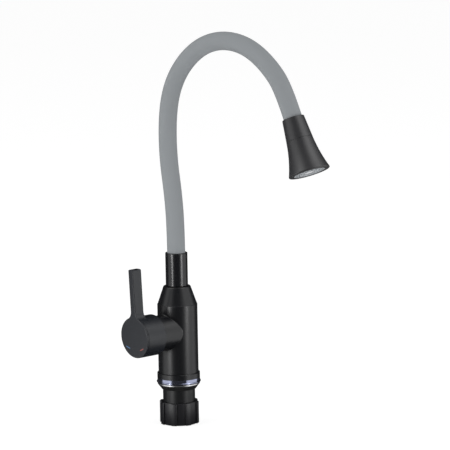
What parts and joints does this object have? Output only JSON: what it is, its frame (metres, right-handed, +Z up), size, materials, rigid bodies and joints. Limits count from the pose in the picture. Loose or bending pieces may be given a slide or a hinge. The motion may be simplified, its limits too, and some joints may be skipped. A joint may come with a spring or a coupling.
{
  "type": "flexible kitchen tap",
  "caption": "Single-lever kitchen mixer tap with a swivelling, bendable hose spout, a two-mode spray head and a side lever on a round cap.",
  "frame": {"origin": "on the body's axis, in the plane of the worktop's upper face, where the tap is clamped in its hole", "axes": "+Z up along the body, the spout reaches towards -Y, the lever's branch stands on the -X side"},
  "size_m": [0.0825, 0.2341, 0.3986],
  "materials": {
    "gunmetal": "satin",
    "gunmetal_cast": "satin",
    "steel": "satin",
    "brass": "satin",
    "black_plastic": "matte",
    "cartridge_plastic": "matte",
    "acetal": "matte",
    "aluminium": "satin",
    "grey_silicone": "matte",
    "black_rubber": "matte",
    "ceramic": "gloss",
    "gunmetal_plastic": "satin",
    "silver_plastic": "satin",
    "ring_steel": "polished"
  },
  "bodies": {
    "tap_body": {"body_shell": "gunmetal", "neck_cone": "gunmetal", "base_flange": "black_plastic", "deck_ring": "ring_steel", "base_o_ring": "black_rubber", "steel_washer": "steel", "cone_gasket": "black_rubber", "mounting_shank": "gunmetal", "fixing_nut": "black_plastic", "port_seals": "black_rubber", "cartridge_base": "cartridge_plastic", "cartridge_housing": "cartridge_plastic", "fixed_ceramic_disc": "ceramic", "cartridge_nut": "brass", "cartridge_cover": "black_plastic"},
    "rotor": {"cartridge_rotor": "cartridge_plastic", "spindle_pin": "steel"},
    "disc_slider": {"moving_ceramic_disc": "ceramic", "disc_carrier": "cartridge_plastic"},
    "lever": {"handle": "gunmetal_cast", "spindle": "brass", "grub_screw": "steel", "screw_plug": "black_plastic"},
    "spout": {"spout_nipple": "brass", "swivel_o_rings": "black_rubber", "lower_glide_ring": "acetal", "upper_glide_ring": "acetal", "hose_ferrule": "gunmetal", "gooseneck_link_0": "aluminium", "hose_sleeve": "grey_silicone", "water_hose": "black_rubber"},
    "link_1": {"gooseneck_link_1": "aluminium"},
    "link_2": {"gooseneck_link_2": "aluminium"},
    "link_3": {"gooseneck_link_3": "aluminium"},
    "link_4": {"gooseneck_link_4": "aluminium"},
    "link_5": {"gooseneck_link_5": "aluminium"},
    "link_6": {"gooseneck_link_6": "aluminium"},
    "link_7": {"gooseneck_link_7": "aluminium"},
    "link_8": {"gooseneck_link_8": "aluminium"},
    "link_9": {"gooseneck_link_9": "aluminium"},
    "link_10": {"gooseneck_link_10": "aluminium", "head_collar": "gunmetal_plastic", "hose_coupling": "brass", "coupling_washer": "black_rubber", "head_core": "acetal", "core_o_ring": "black_rubber", "bell_clip": "steel"},
    "bell": {"head_bell": "gunmetal_plastic", "mode_disc": "acetal", "spray_plate": "silver_plastic", "spray_nozzles": "black_rubber", "aerator_housing": "acetal", "aerator_screen": "steel"}
  },
  "joints": [
    {"name": "spout_swivel", "type": "hinge", "parent": "tap_body", "child": "spout", "pos_m": [0, 0, 0.09], "axis": [0, 0, 1], "continuous": true},
    {"name": "hose_bend_1", "type": "hinge", "parent": "spout", "child": "link_1", "pos_m": [0, 0.00105, 0.1674], "axis": [1, 0, 0], "range_deg": [-20, 8], "deforming": ["hose_sleeve", "water_hose"]},
    {"name": "hose_bend_2", "type": "hinge", "parent": "link_1", "child": "link_2", "pos_m": [0, 0.00595, 0.2074], "axis": [1, 0, 0], "range_deg": [-20, 8]},
    {"name": "hose_sway_3", "type": "hinge", "parent": "link_2", "child": "link_3", "pos_m": [0, 0.00935, 0.25105], "axis": [0, 0.9998, 0.0208], "range_deg": [-18, 18]},
    {"name": "hose_bend_4", "type": "hinge", "parent": "link_3", "child": "link_4", "pos_m": [0, 0.00405, 0.28775], "axis": [1, 0, 0], "range_deg": [-20, 8]},
    {"name": "hose_bend_5", "type": "hinge", "parent": "link_4", "child": "link_5", "pos_m": [0, -0.0111, 0.31495], "axis": [1, 0, 0], "range_deg": [-20, 8]},
    {"name": "hose_sway_6", "type": "hinge", "parent": "link_5", "child": "link_6", "pos_m": [0, -0.0349, 0.33535], "axis": [0, 0.5214, 0.8533], "range_deg": [-18, 18]},
    {"name": "hose_bend_7", "type": "hinge", "parent": "link_6", "child": "link_7", "pos_m": [0, -0.06395, 0.34665], "axis": [1, 0, 0], "range_deg": [-20, 8]},
    {"name": "hose_bend_8", "type": "hinge", "parent": "link_7", "child": "link_8", "pos_m": [0, -0.0952, 0.34735], "axis": [1, 0, 0], "range_deg": [-20, 8]},
    {"name": "hose_sway_9", "type": "hinge", "parent": "link_8", "child": "link_9", "pos_m": [0, -0.12465, 0.33735], "axis": [0, -0.4862, 0.8739], "range_deg": [-18, 18]},
    {"name": "hose_bend_10", "type": "hinge", "parent": "link_9", "child": "link_10", "pos_m": [0, -0.14965, 0.31835], "axis": [1, 0, 0], "range_deg": [-20, 8]},
    {"name": "mode_turn", "type": "hinge", "parent": "link_10", "child": "bell", "pos_m": [0, -0.18396, 0.25345], "axis": [0, -0.3955, -0.9184], "range_deg": [0, 90]},
    {"name": "temperature_turn", "type": "hinge", "parent": "tap_body", "child": "rotor", "pos_m": [-0.027, 0, 0.0537], "axis": [-1, 0, 0], "range_deg": [-45, 45]},
    {"name": "flow_tilt", "type": "hinge", "parent": "rotor", "child": "lever", "pos_m": [-0.027, 0, 0.0537], "axis": [0, -1, 0], "range_deg": [0, 20]},
    {"name": "disc_slide", "type": "slide", "parent": "rotor", "child": "disc_slider", "axis": [0, 0, 1], "range_m": [0, 0.0028]}
  ],
  "couplings": [
    {"joint": "disc_slide", "follows": "flow_tilt", "m_per_rad": 0.008}
  ]
}
